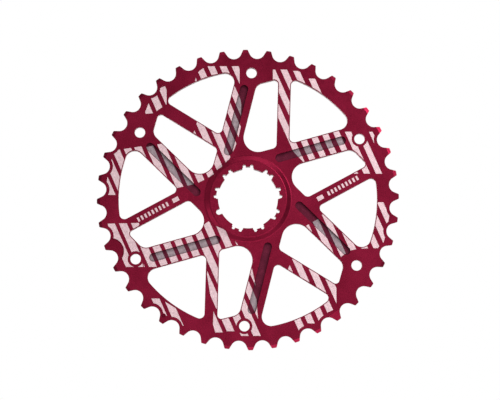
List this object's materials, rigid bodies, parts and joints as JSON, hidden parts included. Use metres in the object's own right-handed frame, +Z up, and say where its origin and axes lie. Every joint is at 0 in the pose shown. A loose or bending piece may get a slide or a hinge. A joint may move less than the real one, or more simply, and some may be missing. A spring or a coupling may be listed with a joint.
{
  "type": "bicycle cassette sprocket",
  "caption": "Large bicycle cassette sprocket: one flat toothed plate with leaning arms, open windows, a splined bore and a raised hub, striped by etching.",
  "frame": {"origin": "centre of the wheel axis at half the hub's thickness", "axes": "Y is the wheel axis, -Y is the front face with the raised hub, +Z is up as the sprocket is shown, +X is to the right seen from the front"},
  "size_m": [0.164, 0.0044, 0.164],
  "materials": {
    "anodised_metal": "satin red anodised, machined from plate",
    "etched_stripe": "matt, laser-etched through the anodising",
    "etched_floor": "matt, etched on the milled slot floors",
    "etched_mark": "matt, plain etched marks"
  },
  "bodies": {
    "root": {"sprocket_plate": "anodised_metal", "etched_stripes": "etched_stripe", "etched_slot_floors": "etched_floor", "etched_hub_shoulder": "etched_stripe", "etched_arm_marks": "etched_mark"}
  },
  "joints": []
}
